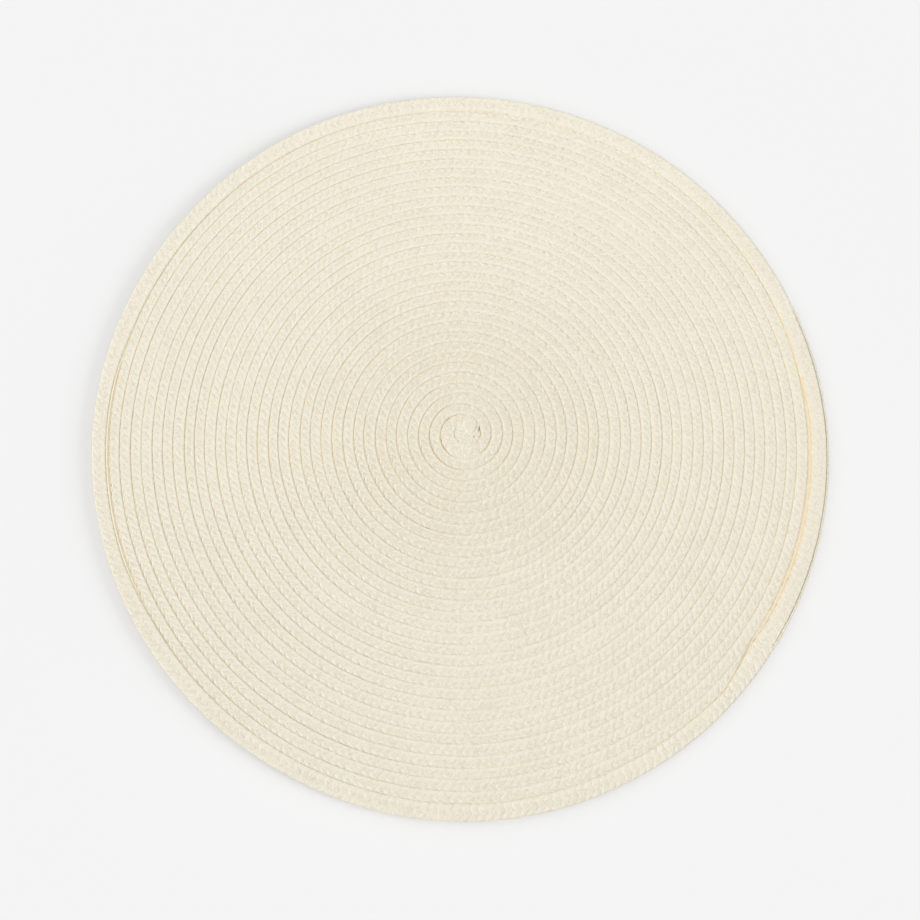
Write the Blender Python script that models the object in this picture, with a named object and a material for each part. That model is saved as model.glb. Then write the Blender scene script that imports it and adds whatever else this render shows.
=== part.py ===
"""Round placemat: one braided cord coiled flat and sewn, with a braided border round its edge.

The turns of the coil stand up as ribs on both faces. Sizes are in millimetres. A station is
a place along the spiral, counted in turns from the middle: station 5.25 is a quarter of the
way round the sixth turn, counterclockwise from +X as seen from above.
"""

import math
from typing import NamedTuple

import bpy

PITCH = 5.457  # width of one turn of the cord
THICK = 4.0  # height of the flattened cord
GROOVE_DEPTH = 0.75  # of the sewn groove between two turns, on both faces
SLOPE = 0.24  # share of a rib's width that slopes into the groove on each side of its flat crown
CLEAR = 0.3  # between the coil and its border

FIRST, LAST = 0.36, 32.90  # stations where the spiral groove starts and ends
DRIFT_TURNS = 5.0  # over so many turns inwards the border's unevenness dies out
CORE = 0.82  # radius of the groove round the cord's rolled-in start, in turn widths
CORE_LEFT, CORE_PASSED = 0.62, 0.95  # between these stations the groove swings out to its spiral
EVEN_START = 0.853  # radius of the even spiral at station 0, in turn widths
TIGHT_START, TIGHT_TURNS = 0.14, 2.0  # the first turns are sewn tighter, in turn widths, and for how long
LOOSE, LOOSEST, LOOSE_SPAN = 0.085, 15.0, 26.0  # the middle turns lie further out, most at this station
OPENING = 0.2  # the groove deepens and widens from its tip over this many turns
TAPER = 0.025  # the cord's tail narrows to a point over this many turns

TOP_STEPS, BOTTOM_STEPS = 50, 36  # steps per turn at the rim, fewer towards the middle
FEWEST_STEPS = 12.0
RIM_STEPS = 96

SEAM = 324.6  # degrees, where the border's upper end is cut off
LOWER_END = 382.0  # degrees, where its lower end lies, under the upper one
PEEK = 1.2  # how far the lower end shows past the upper one
LAP_RISE = 0.5  # the overlap stands this much higher
ROUND_IN, ROUND_OUT = 1.0, 1.1  # width and height of the border's rounding at either edge
CROWN_DROP = 0.15  # its top is this much lower beside the roundings than between them
LAYER_STEP = 0.25  # height between the edges of its upper and lower end


class Edge(NamedTuple):
    """The border in one direction, as unevenly as it was sewn on."""

    degrees: float  # from +X, counterclockwise from above
    outer: float  # radius of its outer edge
    drift: float  # how far the last groove lies outside the even spiral


EDGES = (
    Edge(degrees=0, outer=190.0, drift=0.27),
    Edge(degrees=30, outer=189.1, drift=0.71),
    Edge(degrees=60, outer=189.5, drift=0.44),
    Edge(degrees=90, outer=189.9, drift=0.33),
    Edge(degrees=120, outer=190.1, drift=0.55),
    Edge(degrees=150, outer=189.4, drift=-0.65),
    Edge(degrees=180, outer=190.0, drift=-0.38),
    Edge(degrees=210, outer=189.9, drift=-0.98),
    Edge(degrees=240, outer=190.1, drift=-0.93),
    Edge(degrees=270, outer=191.9, drift=0.0),
    Edge(degrees=300, outer=191.3, drift=-0.76),
    Edge(degrees=330, outer=190.1, drift=0.16),
)


def around(column, degrees):
    """A column of EDGES at any direction, on a smooth closed curve through its rows."""
    place = (degrees % 360.0) / 360.0 * len(EDGES)
    row = int(place)
    part = place - row
    before, here, after, later = (getattr(EDGES[(row + k) % len(EDGES)], column) for k in (-1, 0, 1, 2))
    cubic = 3 * (here - after) + later - before
    square = 2 * before - 5 * here + 4 * after - later
    return here + 0.5 * part * (after - before + part * (square + part * cubic))


def smooth(value):
    """0 to 1 with level ends."""
    value = min(max(value, 0.0), 1.0)
    return value * value * (3 - 2 * value)


def even_radius(station):
    """Radius of the spiral in turn widths, without the small unevenness of single turns."""
    tight = TIGHT_START * math.exp((CORE_PASSED - station) / TIGHT_TURNS)
    loose = LOOSE * math.cos(2 * math.pi * (station - LOOSEST) / LOOSE_SPAN)
    return station + EVEN_START - tight + loose


def sway(station):
    """Unevenness of single turns, in turn widths."""
    slow = 0.03 * math.sin(2 * math.pi * (0.381 * station + 0.1))
    quick = 0.03 * math.sin(2 * math.pi * (1.27 * station + 0.4))
    return (slow + quick) * smooth((station - 1) / 3) * smooth((LAST - station) / 1.5)


def groove_radius(station):
    """Radius of the spiral groove between two turns."""
    if station < CORE_PASSED:
        swing = smooth((station - CORE_LEFT) / (CORE_PASSED - CORE_LEFT))
        return PITCH * (CORE + (even_radius(CORE_PASSED) - CORE) * swing)
    drift = around("drift", 360 * station) * math.exp((station - LAST) / DRIFT_TURNS)
    return PITCH * (even_radius(station) + sway(station)) + drift


def tail_share(station):
    """How far the cord's tail has narrowed: 0 before it, 1 at its point."""
    return max(0.0, (station - LAST + TAPER) / TAPER)


def rib_edge(station):
    """Radius of a rib's outer edge, which is the groove until the tail narrows to a point."""
    share = tail_share(station)
    return groove_radius(station) * (1 - share) + groove_radius(station - 1) * share


def stations(start, end, rim_steps):
    """Stations from start to end, closer together where the radius is large."""
    found = [start]
    while True:
        steps = max(FEWEST_STEPS, rim_steps * math.sqrt(groove_radius(found[-1]) / groove_radius(LAST)))
        if found[-1] + 1.5 / steps > end:
            return [*found, end]
        found.append(found[-1] + 1 / steps)


class Body:
    """Points and faces of one closed solid."""

    def __init__(self):
        self.points = []
        self.faces = []

    def point(self, radius, degrees, height):
        angle = math.radians(degrees)
        self.points.append((radius * math.cos(angle), radius * math.sin(angle), height))
        return len(self.points) - 1

    def join(self, inner, outer, upwards=True):
        """Triangles between two rows of (station, point). Rows may meet in one point at an end."""
        i = j = 0
        while i + 1 < len(inner) or j + 1 < len(outer):
            if j + 1 == len(outer) or (i + 1 < len(inner) and inner[i + 1][0] <= outer[j + 1][0] + 1e-9):
                corners = (inner[i][1], outer[j][1], inner[i + 1][1])
                i += 1
            else:
                corners = (inner[i][1], outer[j][1], outer[j + 1][1])
                j += 1
            if len(set(corners)) == 3:
                self.faces.append(corners if upwards else corners[::-1])

    def make(self, name, middle, colour):
        """The solid as an object, moved so that middle lies at X = Y = 0."""
        mesh = bpy.data.meshes.new(name)
        points = [((x - middle[0]) / 1000, (y - middle[1]) / 1000, z / 1000) for x, y, z in self.points]
        mesh.from_pydata(points, [], self.faces)
        mesh.shade_smooth()
        mesh.set_sharp_from_angle(angle=math.radians(25))
        mesh.materials.append(cotton(name, colour))
        bpy.context.scene.collection.objects.link(bpy.data.objects.new(name, mesh))


def opened(station):
    """How far the groove has opened: 0 at its tip, 1 from where it has its full depth."""
    return smooth((station - FIRST) / OPENING)


def slope(station):
    """Share of a rib's width that slopes into the groove at this station."""
    return SLOPE * (0.15 + 0.85 * opened(station))


def crown_radius(station, share):
    """Radius of a place on a rib's crown, a share of the way across the rib."""
    inner = groove_radius(station - 1) if station > FIRST + 1 else 0.0
    return inner + share * (rib_edge(station) - inner)


def ribbed_face(body, steps, upwards):
    """The top or underside of the coil. It returns the row of points along its rim.

    The groove opens from a tip beside the middle, winds out, and closes on itself at the
    cord's tail. A rib's crown has an inner and an outer edge, and both run from tip to tail.
    """

    def point(radius, station, depth):
        return body.point(radius, 360 * station, THICK - depth if upwards else depth)

    def crown(station, share):
        return station, point(crown_radius(station, share), station, GROOVE_DEPTH * tail_share(station))

    wound = stations(FIRST, LAST - 1, steps)
    rim = [LAST - 1 + k / RIM_STEPS for k in range(1, RIM_STEPS)]
    groove = [(place, point(rib_edge(place), place, GROOVE_DEPTH * opened(place))) for place in wound + rim]
    tip = groove[0][1]
    tail = groove[len(wound) - 1][1]
    groove.append((LAST, tail))

    core = stations(FIRST, FIRST + 1, steps)
    ribs = stations(FIRST + 1, LAST, steps)
    outer_crown = [crown(place, 1 - slope(place)) for place in core[1:] + ribs[1:-1]]
    outer = [(FIRST, tip), *outer_crown, (LAST, tail)]
    inner_crown = [crown(place, slope(place - 1)) for place in ribs[1:-1]]
    inner = [(FIRST + 1, tip), *inner_crown, (LAST, tail)]

    body.join(outer, groove, upwards)
    body.join(inner, outer[len(core) - 1 :], upwards)
    body.join([(place + 1, index) for place, index in groove[: len(wound)]], inner, upwards)
    body.join([(FIRST, point(0, 0, 0))], [*outer[: len(core)], (FIRST + 1, tip)], upwards)
    return groove[len(wound) - 1 :]


def coil():
    body = Body()
    top = ribbed_face(body, TOP_STEPS, upwards=True)
    under = ribbed_face(body, BOTTOM_STEPS, upwards=False)
    body.join(top, under)
    return body


def border_section(degrees):
    """Radius and height of each corner across the border: up its inner wall, over and back."""
    station = degrees / 360.0
    inner = rib_edge(station + math.floor(LAST - station)) + CLEAR
    outer = around("outer", degrees)
    lap = degrees if degrees > SEAM - 180 else degrees + 360
    lapped = smooth((LOWER_END - lap) / 6 + 0.5) if lap > SEAM else 0.0
    top = THICK + LAP_RISE * lapped
    upper = outer - PEEK * lapped
    return (
        (inner, ROUND_IN),
        (inner, top - ROUND_IN),
        (inner + ROUND_IN, top - CROWN_DROP),
        ((inner + upper) / 2, top),
        (upper - ROUND_OUT, top - CROWN_DROP),
        (upper, top - ROUND_OUT - CROWN_DROP),
        (upper, THICK / 2 + LAYER_STEP),
        (outer, THICK / 2),
        (outer, ROUND_OUT),
        (outer - ROUND_OUT, 0.0),
        (inner + ROUND_IN, 0.0),
    )


def border():
    body = Body()
    even = [360 * (LAST + k / RIM_STEPS) % 360 for k in range(RIM_STEPS)]
    angles = sorted([*even, SEAM - 0.15, SEAM + 0.15])
    rings = []
    for degrees in angles:
        rings.append([body.point(radius, degrees, height) for radius, height in border_section(degrees)])
    for here, there in zip(rings, rings[1:] + rings[:1]):
        for one, two, three, four in zip(here, here[1:] + here[:1], there[1:] + there[:1], there):
            body.faces.append((one, two, three, four))
    return body


def cotton(name, colour):
    material = bpy.data.materials.new(name)
    material.use_nodes = True
    shader = material.node_tree.nodes["Principled BSDF"]
    shader.inputs["Base Color"].default_value = (*colour, 1.0)
    shader.inputs["Roughness"].default_value = 0.85
    shader.inputs["Metallic"].default_value = 0.0
    return material


def main():
    for item in list(bpy.data.objects):
        bpy.data.objects.remove(item)
    ring = border()
    spans = [[point[axis] for point in ring.points] for axis in (0, 1)]
    middle = [(min(span) + max(span)) / 2 for span in spans]
    coil().make("coil", middle, (0.84, 0.77, 0.64))
    ring.make("border", middle, (0.85, 0.79, 0.66))
    print("middle of the coil at", [-round(value, 3) for value in middle])


if __name__ == "__main__":
    main()
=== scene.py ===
"""Dressed round placemat: one braided cord coiled flat and sewn, with a braided border.

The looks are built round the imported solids. Sizes in the classes are in millimetres, and
the meshes are in metres. A station is a place along the spiral, counted in turns from the
middle: station 5.25 is a quarter of the way round the sixth turn, counterclockwise from +X
as seen from above.
"""

from __future__ import annotations

import logging
import math
from dataclasses import dataclass
from enum import Enum
from typing import NamedTuple

import bmesh
import bpy
import numpy as np
from mathutils import Euler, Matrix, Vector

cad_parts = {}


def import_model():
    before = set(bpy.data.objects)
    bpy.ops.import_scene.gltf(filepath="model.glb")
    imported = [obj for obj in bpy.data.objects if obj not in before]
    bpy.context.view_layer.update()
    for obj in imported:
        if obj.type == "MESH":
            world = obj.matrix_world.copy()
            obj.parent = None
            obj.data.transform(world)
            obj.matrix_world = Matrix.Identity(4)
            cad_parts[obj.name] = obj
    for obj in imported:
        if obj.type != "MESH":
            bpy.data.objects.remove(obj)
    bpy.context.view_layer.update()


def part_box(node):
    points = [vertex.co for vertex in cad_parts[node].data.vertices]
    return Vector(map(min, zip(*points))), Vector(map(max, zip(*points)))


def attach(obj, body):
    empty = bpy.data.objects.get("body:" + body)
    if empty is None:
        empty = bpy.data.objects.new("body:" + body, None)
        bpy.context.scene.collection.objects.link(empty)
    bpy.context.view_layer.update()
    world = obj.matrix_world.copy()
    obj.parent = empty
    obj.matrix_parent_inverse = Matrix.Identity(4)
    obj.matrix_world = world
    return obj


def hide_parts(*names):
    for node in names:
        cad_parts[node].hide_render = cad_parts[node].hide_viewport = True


MM = 0.001
SHARP = math.radians(62)
DOUBLE = 1e-6  # metres between points that are one
LOG = logging.getLogger("placemat")
TURN = 2 * math.pi
SHADE_PULL = 1.6  # the deepest pull that still makes a groove's painted shade stronger

Array = np.ndarray
Arrays = tuple[Array, Array]
Pair = tuple[float, float]
Colour = tuple[float, float, float]
Piece = bpy.types.Object


class Edge(NamedTuple):
    """The border in one direction, as unevenly as it was sewn on, and how strongly painted groove shade
    shows there.
    """

    degrees: float  # from +X, counterclockwise from above
    outer: float  # radius of its outer edge
    drift: float  # how far the last groove lies outside the even spiral
    shade_by_direction: float  # how strongly the grooves' painted shade shows in this direction
    gaps: float  # how deep the gaps between the strands are, against the table
    drawn: float  # how deep the coil's grooves are, against the table


EDGES = (
    Edge(0, 190.0, 0.27, 1.6, 0.48, 0.7),
    Edge(30, 189.1, 0.71, 1.25, 0.55, 0.55),
    Edge(60, 189.5, 0.44, 0.75, 0.4, 0.5),
    Edge(90, 189.9, 0.33, 0.9, 0.6, 0.75),
    Edge(120, 190.1, 0.55, 1.0, 0.63, 0.9),
    Edge(150, 189.4, -0.65, 1.15, 0.47, 0.9),
    Edge(180, 190.0, -0.38, 1.4, 0.85, 1.0),
    Edge(210, 189.9, -0.98, 1.1, 1.55, 1.05),
    Edge(240, 190.1, -0.93, 0.5, 1.15, 1.2),
    Edge(270, 191.9, 0.0, 0.3, 0.8, 1.15),
    Edge(300, 191.3, -0.76, 0.4, 1.0, 0.75),
    Edge(330, 190.1, 0.16, 1.45, 0.85, 0.72),
)


def smooth(value: Array) -> Array:
    """0 to 1 with level ends."""
    value = np.clip(value, 0.0, 1.0)
    return value * value * (3 - 2 * value)


def roundness(part: Array) -> Array:
    """How far a round strand falls away, from 1 at its two edges to 0 at its middle."""
    return 1 - np.sqrt(np.maximum(0.0, 1 - (2 * part - 1) ** 2))


class Wave(NamedTuple):
    """Unevenness that comes and goes along the spiral."""

    often: float  # waves to a turn
    shift: float = 0.0  # in waves
    size: float = 1.0

    def at(self, station: Array) -> Array:
        """Its value at a station."""
        return self.size * np.sin(TURN * (self.often * station + self.shift))


def around(column: str, degrees: Array) -> Array:
    """A column of EDGES at any direction, on a smooth closed curve through its rows.

    Args:
        column: name of the column.
        degrees: directions, counterclockwise from +X.

    Returns:
        The column's value in each direction.
    """
    rows = np.array([getattr(edge, column) for edge in EDGES])
    place = np.mod(degrees, 360.0) / 360.0 * len(rows)
    row = np.floor(place).astype(int)
    part = place - row
    before, here, after, later = (rows[(row + k) % len(rows)] for k in (-1, 0, 1, 2))
    cubic = 3 * (here - after) + later - before
    square = 2 * before - 5 * here + 4 * after - later
    return here + 0.5 * part * (after - before + part * (square + part * cubic))


@dataclass(frozen=True)
class Winding:
    """The spiral groove along which the cord is wound and sewn, as the solids have it."""

    pitch: float = 5.457  # width of a turn
    thick: float = 4.0
    crown: float = 0.07  # how far the braid's crown lies below the solid's
    first: float = 0.36  # station where the groove begins
    last: float = 32.90  # station where the tail ends
    drift_turns: float = 5.0
    core: float = 0.82  # radius of the rolled-in start, in turn widths
    core_left: float = 0.62  # station where the groove leaves it
    core_passed: float = 0.95
    even_start: float = 0.853
    tight_start: float = 0.14
    tight_turns: float = 2.0
    loose: float = 0.085
    loosest: float = 15.0  # station
    loose_span: float = 26.0
    taper: float = 0.025  # turns over which the tail narrows
    sways: tuple[Wave, ...] = (Wave(0.381, 0.1, 0.03), Wave(1.27, 0.4, 0.03))
    sway_start: float = 1.0  # station
    sway_turns: float = 3.0
    sway_end: float = 1.5  # turns at its end over which it dies away
    pull_waves: tuple[Wave, ...] = (Wave(2.31, 0.2), Wave(0.173, 0.6))
    pull_uneven: float = 0.18
    pull_start: float = 1.3  # station
    pull_turns: float = 2.0
    samples: int = 60000  # places where the distance along the cord is worked out

    def even_radius(self, station: Array) -> Array:
        """Radius of the even spiral, in turn widths."""
        tight = self.tight_start * np.exp((self.core_passed - station) / self.tight_turns)
        loose = self.loose * np.cos(TURN * (station - self.loosest) / self.loose_span)
        return station + self.even_start - tight + loose

    def sway(self, station: Array) -> Array:
        """Unevenness of single turns, in turn widths."""
        begun = smooth((station - self.sway_start) / self.sway_turns)
        ended = smooth((self.last - station) / self.sway_end)
        return sum(wave.at(station) for wave in self.sways) * begun * ended

    def groove(self, station: Array) -> Array:
        """Radius of the spiral groove between two turns."""
        station = np.asarray(station, float)
        drift = around("drift", 360 * station) * np.exp((station - self.last) / self.drift_turns)
        wound = self.pitch * (self.even_radius(station) + self.sway(station)) + drift
        swing = smooth((station - self.core_left) / (self.core_passed - self.core_left))
        passed = self.even_radius(np.array(self.core_passed))
        start = self.pitch * (self.core + (passed - self.core) * swing)
        return np.where(station < self.core_passed, start, wound)

    def outer_edge(self, station: Array) -> Array:
        """Radius of a turn's outer edge, which is the groove until the tail narrows to a point."""
        share = np.clip((station - self.last + self.taper) / self.taper, 0.0, 1.0)
        return self.groove(station) * (1 - share) + self.groove(station - 1) * share

    def inner_edge(self, station: Array) -> Array:
        """Radius of a turn's inner edge."""
        return self.groove(np.asarray(station) - 1)

    def rim_edge(self, degrees: Array) -> Array:
        """Radius of the coil's rim in any direction."""
        station = np.asarray(degrees) / 360.0
        return self.outer_edge(station + np.floor(self.last - station))

    def pull(self, station: Array) -> Array:
        """Depth of the groove against the even one."""
        near = np.interp(station, [row.station for row in PULLS], [row.depth for row in PULLS])
        quick, slow = (wave.at(station) for wave in self.pull_waves)
        begun = smooth((station - self.pull_start) / self.pull_turns)
        return near * (1 + self.pull_uneven * quick * slow * begun) * around("drawn", 360 * station)

    def travel(self, start: float, end: float) -> Arrays:
        """Distance along the middle of the cord.

        Args:
            start: station where the distance is 0.
            end: the last station.

        Returns:
            Stations, and the distance in millimetres at each.
        """
        stations = np.linspace(start, end, self.samples)
        middle = (self.inner_edge(stations) + self.outer_edge(stations)) / 2
        steps = TURN * (middle[1:] + middle[:-1]) / 2 * np.diff(stations)
        return stations, np.concatenate([[0.0], np.cumsum(steps)])


class Across(NamedTuple):
    """One place across a braid."""

    share: float  # 0 at the inner edge, 1 at the outer edge
    sunk: float  # below the crown
    crease: float  # how deep the gap between two strands is
    lead: float  # how far the gap lies ahead of the pit at the outer edge
    pinch: float = 0.0  # how far the gap is drawn in towards the middle
    painted_shade: float = 0.0  # how much painted groove shade it takes
    toe: float = 0.0  # how far it reaches back over the groove beside the braid


CORD_TOP = (
    Across(0.0, 0.31, 0.0, 2.3, painted_shade=0.3),
    Across(0.018, 0.31, 0.0, 2.3, painted_shade=0.3),
    Across(0.025, 0.09, 0.02, 2.28, painted_shade=0.2),
    Across(0.065, 0.03, 0.03, 2.2, painted_shade=0.06),
    Across(0.15, 0.0, 0.04, 1.9),
    Across(0.27, 0.01, 0.08, 1.4),
    Across(0.4, 0.0, 0.11, 0.7),
    Across(0.53, 0.0, 0.12, 0.0),
    Across(0.65, 0.01, 0.13, -0.75),
    Across(0.74, 0.04, 0.16, -1.4),
    Across(0.85, 0.0, 0.25, -0.75),
    Across(0.935, 0.02, 0.29, -0.25, pinch=0.12, painted_shade=0.08),
    Across(0.973, 0.1, 0.27, -0.08, pinch=0.32, painted_shade=0.2),
    Across(0.98, 0.31, 0.0, -0.05, pinch=0.3, painted_shade=0.3),
    Across(1.0, 0.31, 0.0, 0.0, painted_shade=0.3),
)
CORD_UNDER = (
    Across(1.0, 0.68, 0.1, 0.0, painted_shade=0.4),
    Across(0.8, 0.02, 0.18, 1.1),
    Across(0.25, 0.02, 0.16, 0.7),
    Across(0.0, 0.68, 0.02, 2.3, painted_shade=0.4),
)
BORDER_TOP = (
    Across(0.0, 0.25, 0.0, 1.64, painted_shade=0.3, toe=1.0),
    Across(0.0, 0.25, 0.0, 1.6, painted_shade=0.3),
    Across(0.005, 0.13, 0.05, 1.58, painted_shade=0.35),
    Across(0.035, 0.05, 0.08, 1.48, painted_shade=0.1),
    Across(0.1, 0.01, 0.12, 1.15),
    Across(0.21, 0.0, 0.14, 0.55),
    Across(0.31, 0.03, 0.06, 0.0),
    Across(0.44, 0.0, 0.14, 0.7),
    Across(0.57, 0.03, 0.06, 1.45),
    Across(0.69, 0.0, 0.14, 0.5),
    Across(0.82, 0.02, 0.15, -0.45),
    Across(0.92, 0.04, 0.15, -1.0),
    Across(0.97, 0.09, 0.18, -1.2, pinch=0.06),
    Across(0.992, 0.28, 0.18, -1.3, pinch=0.12),
    Across(1.0, 1.2, 0.15, -1.35, pinch=0.15),
)
BORDER_UNDER = (
    Across(1.0, 1.2, 0.15, -1.35, pinch=0.15),
    Across(0.95, 0.35, 0.18, -1.1, pinch=0.06),
    Across(0.69, 0.0, 0.16, 0.5),
    Across(0.32, 0.0, 0.16, 0.0),
    Across(0.06, 0.08, 0.12, 1.4, painted_shade=0.2),
    Across(0.0, 0.4, 0.0, 1.64, painted_shade=0.3, toe=1.0),
)


class Pull(NamedTuple):
    """How deep the sewn groove lies near the start of the spiral."""

    station: float
    depth: float  # against that of the even groove


PULLS = (
    Pull(0.36, 0.35),
    Pull(0.55, 0.45),
    Pull(0.64, 0.3),
    Pull(0.7, 0.0),
    Pull(0.84, 0.0),
    Pull(0.87, 0.9),
    Pull(0.95, 1.6),
    Pull(1.01, 3.0),
    Pull(1.06, 3.0),
    Pull(1.085, 0.4),
    Pull(1.1, 0.0),
    Pull(1.225, 0.0),
    Pull(1.25, 1.4),
    Pull(1.294, 1.2),
    Pull(1.306, 3.4),
    Pull(1.318, 1.0),
    Pull(1.365, 1.4),
    Pull(1.377, 3.6),
    Pull(1.389, 1.0),
    Pull(1.45, 1.6),
    Pull(1.5, 0.8),
    Pull(1.539, 1.4),
    Pull(1.551, 3.0),
    Pull(1.563, 1.0),
    Pull(1.592, 1.4),
    Pull(1.604, 3.6),
    Pull(1.616, 1.0),
    Pull(1.66, 1.3),
    Pull(1.7, 0.6),
    Pull(1.8, 0.8),
    Pull(1.885, 1.2),
    Pull(1.897, 3.0),
    Pull(1.909, 1.1),
    Pull(1.949, 2.2),
    Pull(2.0, 1.2),
    Pull(2.3, 1.4),
    Pull(3.0, 1.2),
    Pull(5.0, 1.0),
)


class Stretch(NamedTuple):
    """Where the border's groove is wide and its sewing thread shows."""

    start: float  # degrees
    end: float
    wide: float  # how much wider the groove is
    taper: float  # degrees over which it widens


STRETCHES = (
    Stretch(160.0, 214.0, 1.45, 14.0),
    Stretch(318.0, 373.0, 1.60, 10.0),
)


class Track:
    """Where a length of braid runs: its edges and its height at any station."""

    waves = (Wave(0.618, size=0.06), Wave(2.27, shift=1 / TURN))
    tuck = 0.12  # how far its beginning is tucked in
    tuck_turns = 0.03

    def __init__(self, winding: Winding, start: float, end: float) -> None:
        """Works out the distance along the track.

        Args:
            winding: the spiral.
            start: station where the braid starts.
            end: station where it ends.
        """
        self.winding = winding
        self.start, self.end = start, end
        self.stations, self.distances = winding.travel(start, end)

    @property
    def length(self) -> float:
        """Length along the middle of the braid, in millimetres."""
        return float(self.distances[-1])

    def station_at(self, distance: Array) -> Array:
        """Station at a distance from the start."""
        return np.interp(distance, self.distances, self.stations)

    def edges(self, station: Array) -> Arrays:
        """Radii of the inner and outer edge."""
        return self.winding.inner_edge(station), self.winding.outer_edge(station)

    def groove(self, station: Array) -> Array:
        """Width of the groove along the inner edge, beyond the braid itself."""
        return 0.0 * station

    def pull(self, station: Array, share: Array) -> Array:
        """How deep the grooves beside the braid are, against the table."""
        return self.winding.pull(np.where(share < 0.5, station - 1, station))

    def puff(self, station: Array, share: Array) -> Array:
        """How far the edge stands up past what lies on the braid."""
        return 0.0 * station

    def heights(self, station: Array) -> Arrays:
        """Heights of the underside and of the crown."""
        tucked = self.tuck * (1 - smooth((station - self.start) / self.tuck_turns))
        return 0.0 * station, self.winding.thick - self.winding.crown + self.wave(station) - tucked

    def wave(self, station: Array) -> Array:
        """Unevenness of the crown's height."""
        one, other = (wave.at(station) for wave in self.waves)
        return one * other


class BorderTrack(Track):
    """The border: a wider braid round the rim, whose two ends lap over each other."""

    waves = (Wave(7.0, size=0.06), Wave(3.3))
    seam = 324.6  # degrees, where its upper end is cut off
    lap_end = 382.0  # degrees, where the upper end comes off the lower one
    peek = 1.2  # how far the lower end shows past the upper one
    lap_rise = 0.5
    begun = 0.16  # share of it that is there at the cut
    begun_degrees = 9.0
    cut = 0.05  # how far the cut edge is rounded down
    cut_degrees = 0.3
    layer = 2.05  # height where the two ends meet
    layer_gap = 0.1
    run = 5.0  # degrees over which it comes down
    hidden = 0.3  # degrees past the cut where the lower end drops
    step = 0.3  # degrees over which it drops under the upper one
    stand = 2.35  # how far its outer edge stands up beside the upper one
    stand_share = 0.82  # place across where it begins to stand up
    stand_run = 0.025
    narrow = 0.22  # width of the sewn groove
    deepest = 296.0  # degrees, where it is drawn in most
    deeper = 1.3
    peaked = 6  # the higher, the shorter the stretch that is drawn in
    samples = 20000

    def __init__(self, winding: Winding) -> None:
        """Lays the border out from its upper end to its lower one.

        Args:
            winding: the spiral.
        """
        self.winding = winding
        self.start, self.end = self.seam / 360, (360 + self.lap_end) / 360
        self.stations = np.linspace(self.start, self.end, self.samples)
        inner, outer = self.edges(self.stations)
        steps = TURN * ((inner + outer) / 2)[1:] * np.diff(self.stations)
        self.distances = np.concatenate([[0.0], np.cumsum(steps)])

    def on_top(self, station: Array) -> Array:
        """1 where it lies on the other end, and 0 past that."""
        return smooth((self.lap_end - 360 * station) / self.run + 0.5)

    def below(self, station: Array) -> Array:
        """1 where it lies under the other end, and 0 before that."""
        return smooth((360 * station - 360 - self.seam - self.hidden) / self.step)

    def groove(self, station: Array) -> Array:
        """Width of the groove along the inner edge, wider where the thread shows."""
        wide = 0.0 * station
        for stretch in STRETCHES:
            lead = np.mod(360 * station - stretch.start, 360.0)
            inside = np.minimum(lead, stretch.end - stretch.start - lead)
            wide = np.maximum(wide, stretch.wide * smooth(inside / stretch.taper))
        return self.narrow + wide

    def pull(self, station: Array, share: Array) -> Array:
        """How deep the grooves beside the braid are, against the table."""
        low = np.maximum(0.0, np.cos(np.radians(360 * station - self.deepest))) ** self.peaked
        return np.where(share < 0.5, 1 + self.deeper * low, 1.0)

    def edges(self, station: Array) -> Arrays:
        """Radii of the inner and outer edge."""
        inner = self.winding.rim_edge(360 * station) + self.groove(station)
        return inner, around("outer", 360 * station) - self.peek * self.on_top(station)

    def puff(self, station: Array, share: Array) -> Array:
        """How far the edge stands up past what lies on the braid."""
        return self.stand * self.below(station) * smooth((share - self.stand_share) / self.stand_run)

    def heights(self, station: Array) -> Arrays:
        """Heights of the underside and of the crown."""
        top, under = self.on_top(station), self.below(station)
        past = 360 * station - self.seam
        begun = self.begun + (1 - self.begun) * smooth(past / self.begun_degrees)
        cut = self.cut * (1 - smooth(past / self.cut_degrees))
        high = self.winding.thick + self.lap_rise * top * begun - cut + self.wave(station)
        return self.layer * top, high + (self.layer - self.layer_gap - high) * under


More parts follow.
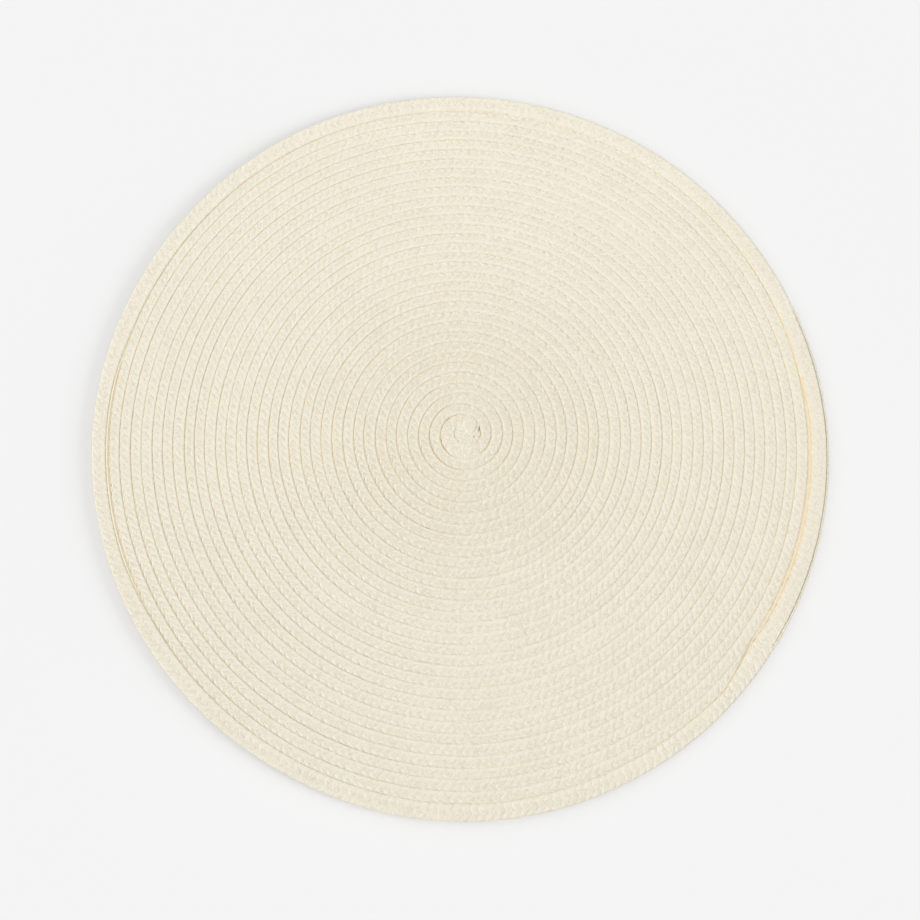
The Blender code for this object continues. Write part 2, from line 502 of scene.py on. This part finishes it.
class Cloth:
    """Meshes that start as a flat grid and are laid out by their rows and columns."""

    @staticmethod
    def grid(columns: int, rows: int) -> tuple[bpy.types.Mesh, Array, Array]:
        """A flat grid.

        Args:
            columns: faces across.
            rows: faces along.

        Returns:
            The mesh, and the column and row of each of its points.
        """
        cloth = bmesh.new()
        bmesh.ops.create_grid(cloth, x_segments=columns, y_segments=rows, size=0.5)
        mesh = bpy.data.meshes.new("cloth")
        cloth.to_mesh(mesh)
        cloth.free()
        flat = np.empty(len(mesh.vertices) * 3, np.float32)
        mesh.vertices.foreach_get("co", flat)
        flat = flat.reshape(-1, 3).astype(float)
        column = np.rint((flat[:, 0] + 0.5) * columns).astype(int)
        row = np.rint((flat[:, 1] + 0.5) * rows).astype(int)
        return mesh, column, row

    @staticmethod
    def turned(radius: Array, angle: Array, height: Array) -> Array:
        """Places at a radius, an angle in radians and a height."""
        return np.stack([radius * np.cos(angle), radius * np.sin(angle), height], axis=1)

    @staticmethod
    def lay(mesh: bpy.types.Mesh, points: Array, marks: dict[str, Array]) -> None:
        """Puts a mesh's points in their places and writes marks on them.

        Args:
            mesh: the mesh.
            points: places in millimetres.
            marks: values for each point, by the attribute's name.
        """
        mesh.vertices.foreach_set("co", (points * MM).astype(np.float32).ravel())
        for name, values in marks.items():
            mark = mesh.attributes.new(name, "FLOAT", "POINT")
            mark.data.foreach_set("value", values.astype(np.float32))

    @staticmethod
    def close(mesh: bpy.types.Mesh, name: str) -> Piece:
        """Joins a tube along its seam, closes its ends and makes it an object.

        Args:
            mesh: the mesh, laid out.
            name: the object's name.

        Returns:
            The object.
        """
        cloth = bmesh.new()
        cloth.from_mesh(mesh)
        bmesh.ops.remove_doubles(cloth, verts=cloth.verts, dist=DOUBLE)
        rim = [edge for edge in cloth.edges if edge.is_boundary]
        caps = bmesh.ops.holes_fill(cloth, edges=rim, sides=0)["faces"]
        bmesh.ops.poke(cloth, faces=caps)
        bmesh.ops.recalc_face_normals(cloth, faces=cloth.faces)
        for face in cloth.faces:
            face.smooth = True
        for edge in cloth.edges:
            edge.smooth = edge.calc_face_angle(0.0) < SHARP
        cloth.to_mesh(mesh)
        cloth.free()
        mesh.name = name
        piece = bpy.data.objects.new(name, mesh)
        bpy.context.scene.collection.objects.link(piece)
        return piece


@dataclass(frozen=True)
class Braid:
    """A flat braid: strands that slant one way and the other, with gaps between them."""

    top: tuple[Across, ...]
    under: tuple[Across, ...]
    strand: float = 4.066  # length of braid taken by one strand
    rows: int = 5  # rows of faces to a strand
    uneven: float = 0.22  # how much the depth of the gaps varies
    stray: float = 0.16  # how far a gap strays along the braid
    full: float = 0.22  # depth of a gap that the material takes as a full one
    seed: int = 7

    def count(self, track: Track) -> int:
        """Rows of faces along a track."""
        return int(track.length / self.strand * self.rows)

    def length(self, name: str, track: Track, start: int, end: int, middle: Array) -> Piece:
        """One closed length of the braid.

        Args:
            name: the piece's name.
            track: where the braid runs.
            start: the row that it starts from.
            end: the row that it ends with.
            middle: where the spiral's middle lies, in millimetres.

        Returns:
            The piece.
        """
        ring = self.top + self.under
        mesh, column, row = Cloth.grid(len(ring), end - start)
        column, row = column % len(ring), row + start
        share, sunk, crease, lead, pinch, painted_shade, toe = (np.array(field)[column] for field in zip(*ring))
        strands = self.count(track) // self.rows + 2
        chance = np.random.default_rng(self.seed)
        spots = chance.uniform(-1, 1, (strands, len(ring)))
        gaps, strays = (chance.uniform(-1, 1, (strands, 1)) for _ in range(2))
        depth = (1 + self.uneven * spots) * (1 + self.uneven * gaps)
        shift = self.stray * strays[:, 0]
        which = row // self.rows
        part = (row % self.rows) / self.rows
        gap = roundness(part)
        lead = lead + shift[which] * (1 - part) + shift[which + 1] * part
        whole = smooth(np.minimum(row, self.count(track) - row) / self.rows)
        station = track.station_at(row * self.strand / self.rows)
        lead, crease = lead * whole, crease * whole * around("gaps", 360 * station)
        inner, outer = track.edges(station)
        station = station + lead / (math.pi * (inner + outer))
        inner, outer = track.edges(station)
        low, high = track.heights(station)
        high = np.where(share > 0, high, np.minimum(high, track.winding.thick))
        squeeze = np.minimum(1.0, (high - low) / track.winding.thick)
        narrow = np.minimum(1.0, (outer - inner) / self.strand)
        radius = inner + share * (outer - inner) - pinch * gap * narrow - toe * track.groove(station)
        drop = (sunk * track.pull(station, share) + crease * gap * depth[which, column] * narrow) * squeeze
        upper = column < len(self.top)
        height = np.where(upper, high + track.puff(station, share) - drop, low + drop)
        # Painted shade in the grooves, stronger where they are pulled deeper and varying with direction
        # round the mat.
        painted_shade = painted_shade * np.minimum(SHADE_PULL, track.pull(station, share)) * around("shade_by_direction", 360 * station)
        marks = {"along": row / self.rows, "across": share, "crease": crease / self.full, "painted_shade": painted_shade}
        Cloth.lay(mesh, Cloth.turned(radius, TURN * station, height) + middle, marks)
        return Cloth.close(mesh, name)


class Grain(NamedTuple):
    """One layer of fine unevenness in a material."""

    scale: float
    detail: float
    rough: float
    weight: float
    lift: float  # added to the weighted noise


class NodeBench:
    """Builds one material's nodes."""

    def __init__(self, name: str) -> None:
        """Starts a material with its shader.

        Args:
            name: the material's name.
        """
        self.material = bpy.data.materials.new(name)
        self.material.use_nodes = True
        self.tree = self.material.node_tree
        self.shader = self.tree.nodes["Principled BSDF"]

    def feed(self, socket: bpy.types.NodeSocket, value: object) -> None:
        """Links a socket to another one, or sets it to a constant."""
        if isinstance(value, bpy.types.NodeSocket):
            self.tree.links.new(value, socket)
        else:
            socket.default_value = value

    def node(self, kind: str, **settings: object) -> bpy.types.Node:
        """A new node with its settings."""
        node = self.tree.nodes.new(kind)
        for name, value in settings.items():
            setattr(node, name, value)
        return node

    def calc(self, operation: str, *values: object) -> object:
        """The output of a Math node."""
        node = self.node("ShaderNodeMath", operation=operation)
        for socket, value in zip(node.inputs, values):
            self.feed(socket, value)
        return node.outputs[0]

    def times(self, one: object, other: object) -> object:
        """The product of two values."""
        return self.calc("MULTIPLY", one, other)

    def scaled(self, value: object, factor: float, lift: object) -> object:
        """A value times a factor, plus a lift."""
        return self.calc("MULTIPLY_ADD", value, factor, lift)

    def mark(self, name: str) -> object:
        """A number written on the mesh's points."""
        return self.node("ShaderNodeAttribute", attribute_name=name).outputs["Fac"]

    def ramp(self, value: object, low: float, high: float, start: float = 0.0, end: float = 1.0) -> object:
        """A value taken smoothly from one range to another."""
        node = self.node("ShaderNodeMapRange", interpolation_type="SMOOTHSTEP")
        for socket, given in zip(node.inputs, (value, low, high, start, end)):
            self.feed(socket, given)
        return node.outputs[0]

    def fade(self, value: object, low: float, high: float) -> object:
        """1 below a range and 0 above it."""
        return self.ramp(value, low, high, 1.0, 0.0)

    def ridge(self, part: object) -> object:
        """0 where a part from 0 to 1 begins and ends, and 1 at its middle."""
        return self.calc("SUBTRACT", 1.0, self.calc("ABSOLUTE", self.scaled(part, 2.0, -1.0)))

    def blend(self, factor: object, one: object, other: object) -> object:
        """A colour between two others."""
        node = self.node("ShaderNodeMix", data_type="RGBA")
        self.feed(node.inputs["Factor"], factor)
        for socket, colour in ((node.inputs[6], one), (node.inputs[7], other)):
            self.feed(socket, (*colour, 1.0) if isinstance(colour, tuple) else colour)
        return node.outputs[2]

    def noise(self, vector: object, scale: float, detail: float = 3.0, roughness: float = 0.5) -> object:
        """The value of a Noise texture."""
        node = self.node("ShaderNodeTexNoise")
        self.feed(node.inputs["Vector"], vector)
        node.inputs["Scale"].default_value = scale
        node.inputs["Detail"].default_value = detail
        node.inputs["Roughness"].default_value = roughness
        return node.outputs[0]

    def grain(self, grain: Grain) -> object:
        """A layer of unevenness that does not follow the braid."""
        layer = self.noise(self.place(), grain.scale, grain.detail, grain.rough)
        return self.scaled(layer, grain.weight, grain.lift)

    def place(self) -> object:
        """Object coordinates."""
        return self.node("ShaderNodeTexCoord").outputs["Object"]

    def reach(self) -> object:
        """Distance from the origin."""
        node = self.node("ShaderNodeVectorMath", operation="LENGTH")
        self.feed(node.inputs[0], self.place())
        return node.outputs["Value"]

    def point(self, x: object, y: object) -> object:
        """A vector of two values."""
        node = self.node("ShaderNodeCombineXYZ")
        for socket, value in zip(node.inputs, (x, y)):
            self.feed(socket, value)
        return node.outputs[0]

    def bump(self, height: object, distance: float) -> None:
        """Raises the surface by a height of 0 to 1 times the distance in metres."""
        node = self.node("ShaderNodeBump")
        node.inputs["Distance"].default_value = distance
        self.feed(node.inputs["Height"], height)
        self.feed(self.shader.inputs["Normal"], node.outputs[0])


class Arm(NamedTuple):
    """A long side of the braid's strands, painted paler by its place across: partly a painted highlight
    where the strands puff up, partly the cotton's own paler tone.
    """

    start: float
    full: float
    fading: float
    end: float
    paler: float


@dataclass(frozen=True)
class BraidedCotton:
    """Cream cotton braid: yarns along each strand, fine fibres, painted warm shade in the stitched grooves
    and strand gaps, and painted highlight along the strands' long sides.
    """

    name: str
    cream: Colour = (0.802, 0.735, 0.580)
    pale: Colour = (0.906, 0.853, 0.722)
    # Peach and brown are the colours of painted shade in strand gaps and stitched grooves.
    shade_peach: Colour = (0.835, 0.705, 0.480)
    shade_brown: Colour = (0.52, 0.30, 0.13)
    yarns: int = 6  # side by side in a strand
    rough: float = 0.82
    sheen: float = 0.12
    sheen_rough: float = 0.5
    gloss: float = 0.25
    relief: float = 0.00016  # metres
    yarn_fine: Pair = (6.0, 2.6)  # along the braid, and across it
    yarn_tone: float = 1.3
    yarn_relief: float = 0.8
    yarn_edge: float = 0.5  # of half a strand, as are the next two
    gap_edge: float = 0.30
    strand_edge: float = 0.42
    strand_relief: float = 0.7
    ridge_relief: float = 0.4
    fibre_fine: Pair = (30.0, 8.0)
    fibre_relief: float = 0.4
    grains: tuple[Grain, ...] = (
        Grain(900.0, 2.0, 0.6, 1.6, -0.8),
        Grain(1900.0, 1.0, 0.5, 0.8, -0.4),
        Grain(38.0, 2.0, 0.5, 0.24, 0.36),
    )
    frayed: Grain = Grain(1200.0, 2.0, 0.7, 4.0, -2.0)
    frayed_to: Pair = (0.009, 0.017)  # metres from the middle
    # Random patches in how strongly the painted groove shade shows.
    patchy_shade: Grain = Grain(420.0, 2.0, 0.6, 3.0, -0.6)
    patchy_shade_least: float = 0.15
    patchy_shade_most: float = 1.25
    outwards: Pair = (0.03, 0.12)  # metres over which it grows paler
    paler: float = 0.10
    # Painted highlight along the strands' puffed-up long sides, partly the cotton's own paler tone.
    arm_highlight_and_tone: tuple[Arm, ...] = (Arm(0.06, 0.18, 0.24, 0.38, 0.22), Arm(0.66, 0.76, 0.84, 0.92, 0.10))
    cream_to_pale: Pair = (0.15, 0.85)
    # How strongly painted shade turns the strand gaps peach.
    gap_shade: float = 0.30
    # How strongly painted shade turns the stitched grooves peach, then brown.
    shade_to_peach: Pair = (0.0, 0.5)
    shade_to_brown: Pair = (0.6, 1.0)

    def material(self) -> bpy.types.Material:
        """Builds the material.

        Returns:
            The material.
        """
        bench = NodeBench(self.name)
        along, across, crease = (bench.mark(name) for name in ("along", "across", "crease"))
        part = bench.calc("FRACT", along)
        ridge = bench.ridge(part)
        yarn = self.streaks(bench, along, across, self.yarn_fine)
        tone = bench.ramp(self.tone(bench, across, yarn), *self.cream_to_pale)
        colour = bench.blend(tone, self.cream, self.pale)
        # Painted shade in the gaps between strands, blended towards peach.
        gap = bench.times(bench.fade(ridge, 0.0, self.gap_edge), crease)
        colour = bench.blend(bench.times(gap, self.gap_shade), colour, self.shade_peach)
        # Painted shade in the stitched grooves: peach, then brown where deepest, in random patches.
        patchy_shade = bench.calc("MAXIMUM", bench.grain(self.patchy_shade), self.patchy_shade_least)
        painted_shade = bench.times(bench.mark("painted_shade"), bench.calc("MINIMUM", patchy_shade, self.patchy_shade_most))
        colour = bench.blend(bench.ramp(painted_shade, *self.shade_to_peach), colour, self.shade_peach)
        colour = bench.blend(bench.ramp(painted_shade, *self.shade_to_brown), colour, self.shade_brown)
        wave = bench.calc("SINE", bench.times(part, TURN * self.yarns))
        height = bench.times(bench.scaled(wave, 0.5, 0.5), bench.ramp(ridge, 0.0, self.yarn_edge))
        strand = bench.times(bench.fade(ridge, 0.0, self.strand_edge), crease)
        height = bench.scaled(strand, -self.strand_relief, height)
        fibre = bench.times(self.streaks(bench, along, across, self.fibre_fine), self.fibre_relief)
        height = bench.scaled(height, self.ridge_relief, fibre)
        height = bench.scaled(yarn, self.yarn_relief, height)
        bench.bump(height, self.relief)
        bench.feed(bench.shader.inputs["Base Color"], colour)
        bench.shader.inputs["Roughness"].default_value = self.rough
        bench.shader.inputs["Sheen Weight"].default_value = self.sheen
        bench.shader.inputs["Sheen Roughness"].default_value = self.sheen_rough
        bench.shader.inputs["Specular IOR Level"].default_value = self.gloss
        return bench.material

    def tone(self, bench: NodeBench, across: object, yarn: object) -> object:
        """How pale the cotton is at any place, with painted highlight along the strands' long sides.

        Args:
            bench: where the nodes go.
            across: place across the braid.
            yarn: streaks along the yarns.

        Returns:
            The tone, in which 0 is creamy and 1 is pale.
        """
        tone = bench.scaled(yarn, self.yarn_tone, -self.yarn_tone / 2)
        for grain in self.grains:
            tone = bench.calc("ADD", tone, bench.grain(grain))
        frayed = bench.fade(bench.reach(), *self.frayed_to)
        tone = bench.calc("ADD", tone, bench.times(bench.grain(self.frayed), frayed))
        tone = bench.calc("ADD", tone, bench.ramp(bench.reach(), *self.outwards, -self.paler, self.paler))
        # Painted highlight, partly the cotton's own tone, on the strands' long sides.
        for arm in self.arm_highlight_and_tone:
            begun = bench.ramp(across, arm.start, arm.full)
            inside = bench.times(begun, bench.fade(across, arm.fading, arm.end))
            tone = bench.scaled(inside, arm.paler, tone)
        return tone

    @staticmethod
    def streaks(bench: NodeBench, along: object, across: object, fine: Pair) -> object:
        """Unevenness that is stretched along the yarns, as fine along and across as given."""
        place = bench.point(bench.times(along, fine[0]), bench.times(across, fine[1]))
        return bench.noise(place, 1.0, 2.0, 0.6)


@dataclass(frozen=True)
class Coil:
    """The braided cord, wound flat from its rolled-in start to its tapered tail."""

    winding: Winding
    middle: Array
    lengths: int = 5
    start: float = 1.22  # station where the cord comes out from under its rolled-in start

    def build(self) -> list[Piece]:
        """Builds the cord in lengths that follow each other.

        Returns:
            The pieces.
        """
        braid = Braid(top=CORD_TOP, under=CORD_UNDER)
        track = Track(self.winding, self.start, self.winding.last)
        rows = braid.count(track)
        cuts = [round(rows * k / self.lengths) for k in range(self.lengths + 1)]
        pieces = []
        for number, (start, end) in enumerate(zip(cuts, cuts[1:]), 1):
            pieces.append(braid.length(f"coil_{number}", track, start, end, self.middle))
        return [RolledStart(self.winding, self.middle, braid, self.start).build(), *pieces]


class Dot(NamedTuple):
    """A small pit beside the rolled-in start, darkened with painted shade, in turn widths from the middle.
    """

    x: float
    y: float
    radius: float
    depth: float  # in millimetres


DOTS = (
    Dot(1.56, 0.66, 0.06, 1.2),
    Dot(1.53, 0.50, 0.08, 1.6),
    Dot(1.50, 0.33, 0.07, 1.2),
    Dot(1.08, -0.25, 0.07, 1.0),
    Dot(1.45, -0.30, 0.08, 0.5),
    Dot(1.30, -0.62, 0.10, 0.5),
    Dot(1.02, -0.80, 0.08, 0.35),
    Dot(0.83, -1.0, 0.08, 0.4),
    Dot(-0.42, -0.67, 0.06, 0.5),
    Dot(-0.80, -0.17, 0.07, 0.35),
    Dot(-0.60, 0.45, 0.07, 0.25),
)


@dataclass(frozen=True)
class RolledStart:
    """The cord's start, rolled in at the middle of the mat."""

    winding: Winding
    middle: Array
    braid: Braid
    joined: float  # station where the cord comes out from under it
    around_steps: int = 200
    out_steps: int = 28
    under_steps: int = 6
    step: float = 0.035  # turns over which its edge steps in where the cord starts
    edge_rows: tuple[float, ...] = (0.85, 0.55, 0.35, 0.20, 0.142, 0.109, 0.0)  # from the edge
    inset: float = 1.1  # how far from the edge its even rows end
    spacing: float = 0.85  # below 1, its even rows lie closer together further out
    lobe: Pair = (0.66, 1.05)  # middle of its folded end, in turn widths
    lobe_size: Pair = (0.60, 0.98)
    lobe_rise: float = 0.30
    lobe_end: float = 1.25  # of its size squared, as are the next two
    lobe_slope: float = 0.5
    bare: float = 1.7
    braided: float = 0.5  # how deep its gaps are, against the table
    braided_from: float = 0.7  # turn widths from the middle
    braided_run: float = 0.5
    seam: float = 0.08  # turns beside its seam over which gaps die away
    fold: Pair = (2.4, -0.6)  # what its strands bend round
    # How strongly the pits are darkened with painted shade.
    dot_shade: float = 1.3
    bottom: float = 0.02
    rim_bottom: float = 0.5
    rim: float = 0.9  # place across, from which its underside is lifted

    def edge(self, station: Array) -> Array:
        """Radius of its outer edge, which steps in where the cord starts."""
        wound = self.winding.groove(station)
        stepped = smooth((station - self.joined) / self.step)
        return wound * (1 - stepped) + self.winding.core * self.winding.pitch * stepped

    def radii(self, column: Array, edge: Array) -> Array:
        """Radius of each point, from the middle out to the edge and back underneath."""
        rows = np.array(self.edge_rows)
        columns = self.out_steps + len(rows)
        last = rows[np.clip(column - self.out_steps - 1, 0, len(rows) - 1)]
        even = (edge - self.inset) * (column / self.out_steps) ** self.spacing
        upper = np.where(column <= self.out_steps, even, edge - last)
        under = edge * (columns + self.under_steps - column) / self.under_steps
        return np.where(column <= columns, upper, under)

    def build(self) -> Piece:
        """Builds it as a closed, domed piece.

        Returns:
            The piece.
        """
        pitch, first = self.winding.pitch, self.winding.first
        columns = self.out_steps + len(self.edge_rows)
        mesh, column, row = Cloth.grid(columns + self.under_steps, self.around_steps)
        upper = column <= columns
        station = first + row / self.around_steps
        edge = self.edge(station)
        radius = self.radii(column, edge)
        angle = TURN * station
        x, y = radius * np.cos(angle) / pitch, radius * np.sin(angle) / pitch
        share = 1 - (edge - radius) / pitch
        outer = share > 0.5
        table = dict(zip(Across._fields, zip(*self.braid.top)))
        sunk, crease, lead, painted_shade = (
            np.interp(share, table["share"], table[name]) for name in ("sunk", "crease", "lead", "painted_shade")
        )
        pull = self.winding.pull(np.where(station > self.joined + self.step / 2, station - 1, station))
        stations, travelled = self.winding.travel(first, first + 1.0)
        run = np.interp(station, stations, travelled) - np.interp(self.joined, stations, travelled)
        gap = roundness(np.mod((run - lead) / self.braid.strand, 1.0))
        lobe = ((x - self.lobe[0]) / self.lobe_size[0]) ** 2 + ((y - self.lobe[1]) / self.lobe_size[1]) ** 2
        seamless = smooth(np.minimum(station - first, first + 1 - station) / self.seam)
        begun = smooth((radius / pitch - self.braided_from) / self.braided_run)
        braided = self.braided * begun * (1 - smooth(self.bare - lobe)) * seamless
        drop = np.where(outer, sunk, 0.0) * pull + crease * gap * braided
        drop = drop - self.lobe_rise * smooth((self.lobe_end - lobe) / self.lobe_slope)
        # Painted shade in the grooves, stronger where they are pulled deeper.
        painted_shade = painted_shade * outer * np.minimum(SHADE_PULL, pull)
        # Each pit is sunk and darkened with painted shade, more for deeper pits.
        for dot in DOTS:
            near = np.exp(-((x - dot.x) ** 2 + (y - dot.y) ** 2) / dot.radius**2)
            drop = drop + dot.depth * near
            painted_shade = np.maximum(painted_shade, np.minimum(1.0, self.dot_shade * near * min(1.0, dot.depth)))
        bottom = np.where(share > self.rim, self.rim_bottom, self.bottom)
        height = np.where(upper, self.winding.thick - self.winding.crown - drop, bottom)
        folded = np.hypot(x - self.fold[0], y - self.fold[1]) * pitch / self.braid.strand
        marks = {"along": folded, "across": y, "crease": 0.0 * x, "painted_shade": painted_shade * upper}
        Cloth.lay(mesh, Cloth.turned(radius, angle, height) + self.middle, marks)
        return Cloth.close(mesh, "coil_start")


@dataclass(frozen=True)
class Border:
    """The wider braid that is sewn round the rim."""

    winding: Winding
    middle: Array

    def build(self) -> Piece:
        """Builds the border in one length, with its ends lapped.

        Returns:
            The piece.
        """
        braid = Braid(top=BORDER_TOP, under=BORDER_UNDER, seed=11)
        track = BorderTrack(self.winding)
        return braid.length("border_braid", track, 0, braid.count(track), self.middle)


@dataclass(frozen=True)
class SewingThread:
    """Thread that shows in the groove between the coil and its border."""

    winding: Winding
    middle: Array
    filled: float = 0.60  # of the groove's width
    tall: float = 0.55
    top: float = 3.92
    dip: float = 0.8  # how far its ends go down
    step: float = 1.0
    twist: float = 1.6  # length of one twist
    sides: int = 8

    def build(self) -> list[Piece]:
        """Builds the stretches of thread.

        Returns:
            The pieces.
        """
        return [self.run(f"sewing_thread_{number}", row) for number, row in enumerate(STRETCHES, 1)]

    def run(self, name: str, stretch: Stretch) -> Piece:
        """One stretch of thread.

        Args:
            name: the piece's name.
            stretch: where it shows.

        Returns:
            The piece.
        """
        span = stretch.end - stretch.start
        rim = float(np.mean(self.winding.rim_edge(np.array([stretch.start, stretch.end]))))
        rows = int(math.radians(span) * rim / self.step)
        mesh, column, row = Cloth.grid(self.sides, rows)
        share = row / rows
        degrees = stretch.start + span * share
        ends = smooth(np.minimum(share, 1 - share) * span / stretch.taper)
        wide = BorderTrack(self.winding).groove(degrees / 360)
        turn = TURN * (column % self.sides) / self.sides
        radius = self.winding.rim_edge(degrees) + wide / 2 * (1 + self.filled * np.cos(turn))
        height = self.top - self.dip * (1 - ends) ** 2 + self.tall / 2 * (np.sin(turn) - 1)
        points = Cloth.turned(radius, np.radians(degrees), height) + self.middle
        Cloth.lay(mesh, points, {"along": row * self.step / self.twist})
        return Cloth.close(mesh, name)


@dataclass(frozen=True)
class TwistedThread:
    """Pale sewing thread with its twist, with painted shade between the twists and random mottling."""

    name: str
    colour: Colour = (0.90, 0.82, 0.64)
    # Darkening used both for painted shade between the twists and for random mottle.
    shade_and_mottle: float = 0.82
    edge: float = 0.5  # of half a twist
    twist_shade: float = 0.5  # how much painted shade it takes between its twists
    mottled: float = 0.3
    mottle: float = 600.0
    relief: float = 0.00008  # metres
    rough: float = 0.7

    def material(self) -> bpy.types.Material:
        """Builds the material.

        Returns:
            The material.
        """
        bench = NodeBench(self.name)
        ridge = bench.ridge(bench.calc("FRACT", bench.mark("along")))
        shade_and_mottle_colour = tuple(self.shade_and_mottle * value for value in self.colour)
        # Painted shade between the twists.
        groove = bench.times(bench.fade(ridge, 0.0, self.edge), self.twist_shade)
        colour = bench.blend(groove, self.colour, shade_and_mottle_colour)
        mottle = bench.times(bench.noise(bench.place(), self.mottle), self.mottled)
        bench.feed(bench.shader.inputs["Base Color"], bench.blend(mottle, colour, shade_and_mottle_colour))
        bench.bump(ridge, self.relief)
        bench.shader.inputs["Roughness"].default_value = self.rough
        return bench.material


class Falls(Enum):
    """What a studio light falls on."""

    MAT = "mat"
    FLOOR = "floor"


class Lamp(NamedTuple):
    """One soft studio light."""

    name: str
    falls: Falls
    azimuth: float  # degrees from +X, where it stands
    elevation: float  # degrees above the floor
    spread: float  # degrees that it takes up, seen from the mat
    share: float  # of the light that a level white sheet needs to look white
    distance: float = 0.0  # metres from the mat, or 0 for as far as the sun


@dataclass(frozen=True)
class Studio:
    """Pale floor, soft light and the camera."""

    middle: Array
    floor_tone: float = 0.87
    floor_uneven: float = 0.004
    floor_rough: float = 0.9
    floor_reach: float = 3.0  # metres from the middle to its sides
    sky: float = 0.14
    lamps: tuple[Lamp, ...] = (
        Lamp("key", Falls.MAT, 191.0, 35.0, 24.0, 0.50),
        Lamp("fill", Falls.MAT, -10.0, 42.0, 24.0, 0.18),
        Lamp("top", Falls.MAT, 92.0, 66.0, 30.0, 0.21, distance=1.5),
        Lamp("side", Falls.FLOOR, -10.0, 17.0, 30.0, 0.15),
        Lamp("dome", Falls.FLOOR, 0.0, 90.0, 150.0, 0.755),
    )
    focal: float = 43.06
    sensor: float = 36.0
    stand: tuple[float, ...] = (-15.2, -123.28, 558.6)  # from the spiral's middle
    tilt: float = 11.16  # degrees
    roll: float = -1.392

    def build(self) -> None:
        """Builds the camera and sets the sky."""
        scene = bpy.context.scene
        scene.view_settings.view_transform = "Standard"
        scene.view_settings.look = "None"
        world = bpy.data.worlds.new("studio")
        scene.world = world
        world.use_nodes = True
        backdrop = world.node_tree.nodes["Background"]
        backdrop.inputs["Color"].default_value = (1.0, 1.0, 1.0, 1.0)
        backdrop.inputs["Strength"].default_value = self.sky
        self.camera(scene)

    def floor(self) -> Piece:
        """A wide pale floor."""
        cloth = bmesh.new()
        bmesh.ops.create_grid(cloth, x_segments=8, y_segments=8, size=self.floor_reach)
        mesh = bpy.data.meshes.new("floor")
        cloth.to_mesh(mesh)
        cloth.free()
        bench = NodeBench("pale_floor")
        tone = bench.noise(bench.place(), 3.0)
        low, high = ((self.floor_tone + side * self.floor_uneven,) * 3 for side in (-1, 1))
        bench.feed(bench.shader.inputs["Base Color"], bench.blend(tone, low, high))
        bench.shader.inputs["Roughness"].default_value = self.floor_rough
        bench.shader.inputs["Specular IOR Level"].default_value = 0.0
        mesh.materials.append(bench.material)
        floor = bpy.data.objects.new("floor", mesh)
        bpy.context.scene.collection.objects.link(floor)
        return floor

    def light(self, pieces: list[Piece], floor: Piece) -> None:
        """Sets up the lamps.

        Args:
            pieces: the mat's pieces.
            floor: the floor.
        """
        lit = {}
        for falls, things in ((Falls.MAT, pieces), (Falls.FLOOR, [floor])):
            lit[falls] = bpy.data.collections.new(f"lit_{falls.value}")
            for thing in things:
                lit[falls].objects.link(thing)
        for lamp in self.lamps:
            self.lamp(lamp).light_linking.receiver_collection = lit[lamp.falls]

    @staticmethod
    def lamp(lamp: Lamp) -> Piece:
        """Makes one lamp: a sun, or a disc that stands nearer.

        Args:
            lamp: where it stands and how strong it is.

        Returns:
            The lamp, turned to the mat.
        """
        rise, turn = math.radians(lamp.elevation), math.radians(lamp.azimuth)
        level = lamp.share * math.pi / math.sin(rise)
        if lamp.distance:
            data = bpy.data.lights.new(f"lamp_{lamp.name}", "AREA")
            data.shape = "DISK"
            data.size = 2 * lamp.distance * math.tan(math.radians(lamp.spread / 2))
            data.energy = level * math.pi * lamp.distance**2
        else:
            data = bpy.data.lights.new(f"lamp_{lamp.name}", "SUN")
            data.angle = math.radians(lamp.spread)
            data.energy = level
        light = bpy.data.objects.new(data.name, data)
        bpy.context.scene.collection.objects.link(light)
        away = (math.cos(rise) * math.cos(turn), math.cos(rise) * math.sin(turn), math.sin(rise))
        light.location = np.array(away) * (lamp.distance or 1.0)
        light.rotation_euler = (math.pi / 2 - rise, 0.0, turn + math.pi / 2)
        return light

    def camera(self, scene: bpy.types.Scene) -> None:
        """The camera above the mat, as the picture was taken."""
        data = bpy.data.cameras.new("camera")
        data.lens, data.sensor_width = self.focal, self.sensor
        data.clip_start, data.clip_end = 0.01, 20.0
        camera = bpy.data.objects.new("camera", data)
        camera.location = (np.array(self.stand) + self.middle) * MM
        camera.rotation_euler = Euler((math.radians(self.tilt), math.radians(self.roll), 0.0))
        scene.collection.objects.link(camera)
        scene.camera = camera


def spiral_middle() -> Array:
    """Where the spiral's middle lies in the frame, from the box of the border's solid.

    Returns:
        The place in millimetres.
    """
    low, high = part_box("border")
    degrees = np.arange(0.0, 360.0, 0.05)
    edge, angle = around("outer", degrees), np.radians(degrees)
    spans = [edge * np.cos(angle), edge * np.sin(angle)]
    own = [(span.min() + span.max()) / 2 for span in spans]
    box = [(low[axis] + high[axis]) / 2 / MM for axis in (0, 1)]
    return np.array([box[0] - own[0], box[1] - own[1], 0.0])


def dress(piece: Piece, material: bpy.types.Material, node: str) -> None:
    """Gives a piece its material, hangs it from the root and hides the solid that it replaces.

    Args:
        piece: the piece.
        material: its finish.
        node: the solid that it replaces.
    """
    piece.data.materials.append(material)
    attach(piece, "root")
    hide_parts(node)
    LOG.info("%s: %d faces", piece.name, len(piece.data.polygons))


def main() -> None:
    """Builds the mat, its surroundings and the camera."""
    logging.basicConfig(level=logging.INFO, format="%(message)s")
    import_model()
    winding = Winding()
    middle = spiral_middle()
    LOG.info("middle of the coil at %s mm", np.round(middle, 3))
    studio = Studio(middle)
    studio.build()
    floor = studio.floor()
    cord, band = BraidedCotton("cord_cotton").material(), BraidedCotton("border_cotton").material()
    coil = Coil(winding, middle).build()
    for piece in coil:
        dress(piece, cord, "coil")
    border = Border(winding, middle).build()
    dress(border, band, "border")
    thread = TwistedThread("sewing_thread").material()
    threads = SewingThread(winding, middle).build()
    for piece in threads:
        dress(piece, thread, "border")
    studio.light([*coil, border, *threads], floor)


if __name__ == "__main__":
    main()
